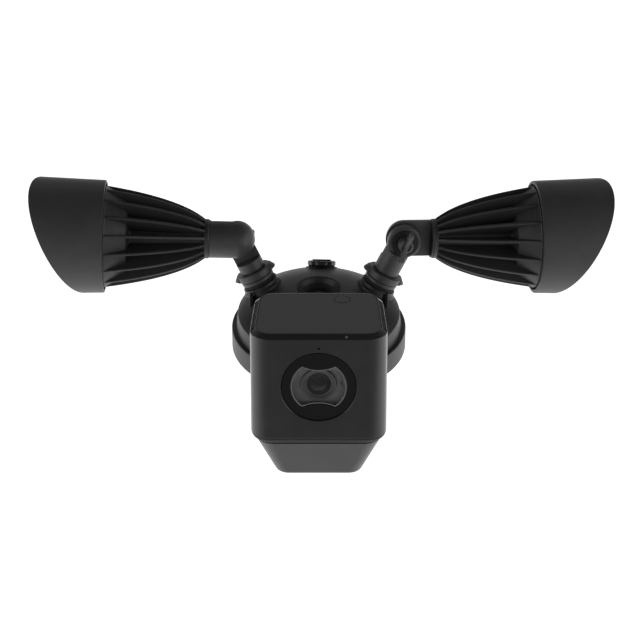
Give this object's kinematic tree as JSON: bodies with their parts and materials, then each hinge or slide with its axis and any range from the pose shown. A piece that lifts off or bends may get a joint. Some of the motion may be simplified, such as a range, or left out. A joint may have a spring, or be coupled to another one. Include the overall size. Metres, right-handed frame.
{
  "type": "security camera with floodlights",
  "caption": "Wall-mounted black security camera hung from a round domed base, with a finned, hooded floodlight on a swivelling arm at each side.",
  "frame": {"origin": "centre of the flat back of the mounting bar, at the middle of the round base's back face", "axes": "+Z leaves the mounting surface, -Y is the way the camera looks, +X runs towards the right-hand lamp"},
  "size_m": [0.399, 0.2215, 0.1282],
  "materials": {
    "coated_aluminium": "satin black powder coat",
    "black_plastic": "satin black",
    "black_glass": "polished black",
    "rubber": "matte",
    "zinc_steel": "zinc plated",
    "dark_steel": "black oxide",
    "white_plastic": "satin white",
    "white_board": "white solder mask",
    "green_board": "green solder mask",
    "reflector": "bright white",
    "diffuser": "frosted white"
  },
  "bodies": {
    "base": {"base_canopy": "coated_aluminium", "base_gasket": "rubber", "mounting_bar": "zinc_steel", "centre_screw": "dark_steel", "driver_housing": "black_plastic", "terminal_block": "white_plastic", "plug_seal": "rubber", "stem_seal_left": "rubber", "stem_seal_right": "rubber", "camera_stem_seal": "rubber"},
    "plug": {"port_plug": "black_plastic"},
    "lock_nut_left": {"lock_nut_left": "coated_aluminium"},
    "stem_left": {"stem_left": "coated_aluminium", "knuckle_washer_left": "rubber"},
    "wing_screw_left": {"wing_screw_left": "coated_aluminium"},
    "lamp_left": {"heat_sink_left": "coated_aluminium", "led_board_left": "white_board", "reflector_left": "reflector", "front_glass_left": "diffuser", "hood_left": "coated_aluminium"},
    "lock_nut_right": {"lock_nut_right": "coated_aluminium"},
    "stem_right": {"stem_right": "coated_aluminium", "knuckle_washer_right": "rubber"},
    "wing_screw_right": {"wing_screw_right": "coated_aluminium"},
    "lamp_right": {"heat_sink_right": "coated_aluminium", "led_board_right": "white_board", "reflector_right": "reflector", "front_glass_right": "diffuser", "hood_right": "coated_aluminium"},
    "camera_lock_nut": {"camera_lock_nut": "coated_aluminium"},
    "camera_stem": {"camera_stem": "coated_aluminium", "camera_washer": "rubber"},
    "camera_wing_screw": {"camera_wing_screw": "coated_aluminium"},
    "camera": {"camera_bracket": "coated_aluminium", "camera_housing": "black_plastic", "rear_cover": "black_plastic", "cover_screw_1": "dark_steel", "cover_screw_2": "dark_steel", "cover_screw_3": "dark_steel", "cover_screw_4": "dark_steel", "top_panel": "black_plastic", "lens_ring": "black_plastic", "lens_window": "black_glass", "lens_barrel": "black_plastic", "lens_glass": "black_glass", "ir_led_board": "green_board", "image_sensor_board": "green_board", "main_board": "green_board", "microphone": "dark_steel", "status_light": "diffuser", "lower_cover": "black_plastic", "speaker": "dark_steel", "pir_sensor": "diffuser"},
    "pairing_button": {"pairing_button": "black_plastic"}
  },
  "joints": [
    {"name": "plug_turn", "type": "hinge", "parent": "base", "child": "plug", "pos_m": [0.00192, 0.04396, 0.03461], "axis": [0.0218, 0.4995, 0.866], "continuous": true},
    {"name": "lock_nut_turn_left", "type": "hinge", "parent": "base", "child": "lock_nut_left", "pos_m": [-0.03898, 0.01735, 0.03537], "axis": [-0.4429, 0.1972, 0.8746], "continuous": true},
    {"name": "stem_swivel_left", "type": "hinge", "parent": "base", "child": "stem_left", "pos_m": [-0.03898, 0.01735, 0.03537], "axis": [-0.4429, 0.1972, 0.8746], "range_deg": [-60, 60]},
    {"name": "wing_screw_turn_left", "type": "hinge", "parent": "stem_left", "child": "wing_screw_left", "pos_m": [-0.05616, 0.025, 0.0693], "axis": [0, 0.9755, -0.2199], "continuous": true},
    {"name": "lamp_tilt_left", "type": "hinge", "parent": "stem_left", "child": "lamp_left", "pos_m": [-0.05616, 0.025, 0.0693], "axis": [0, 0.9755, -0.2199], "range_deg": [-15, 60]},
    {"name": "lock_nut_turn_right", "type": "hinge", "parent": "base", "child": "lock_nut_right", "pos_m": [0.03958, 0.0148, 0.03559], "axis": [0.4498, 0.1682, 0.8771], "continuous": true},
    {"name": "stem_swivel_right", "type": "hinge", "parent": "base", "child": "stem_right", "pos_m": [0.03958, 0.0148, 0.03559], "axis": [0.4498, 0.1682, 0.8771], "range_deg": [-60, 60]},
    {"name": "wing_screw_turn_right", "type": "hinge", "parent": "stem_right", "child": "wing_screw_right", "pos_m": [0.05816, 0.02175, 0.07182], "axis": [0.1243, -0.9843, 0.125], "continuous": true},
    {"name": "lamp_tilt_right", "type": "hinge", "parent": "stem_right", "child": "lamp_right", "pos_m": [0.05816, 0.02175, 0.07182], "axis": [0.1243, -0.9843, 0.125], "range_deg": [-15, 60]},
    {"name": "camera_lock_nut_turn", "type": "hinge", "parent": "base", "child": "camera_lock_nut", "pos_m": [0, -0.044, 0.03461], "axis": [0, -0.5, 0.866], "continuous": true},
    {"name": "camera_swivel", "type": "hinge", "parent": "base", "child": "camera_stem", "pos_m": [0, -0.044, 0.03461], "axis": [0, -0.5, 0.866], "range_deg": [-45, 45]},
    {"name": "camera_wing_screw_turn", "type": "hinge", "parent": "camera_stem", "child": "camera_wing_screw", "pos_m": [0, -0.06, 0.06232], "axis": [-1, 0, 0], "continuous": true},
    {"name": "camera_tilt", "type": "hinge", "parent": "camera_stem", "child": "camera", "pos_m": [0, -0.06, 0.06232], "axis": [-1, 0, 0], "range_deg": [-15, 60]},
    {"name": "pairing_button_press", "type": "slide", "parent": "camera", "child": "pairing_button", "axis": [0, 0.1305, 0.9914], "range_m": [-0.0008, 0], "stiffness_N_per_m": 300}
  ]
}
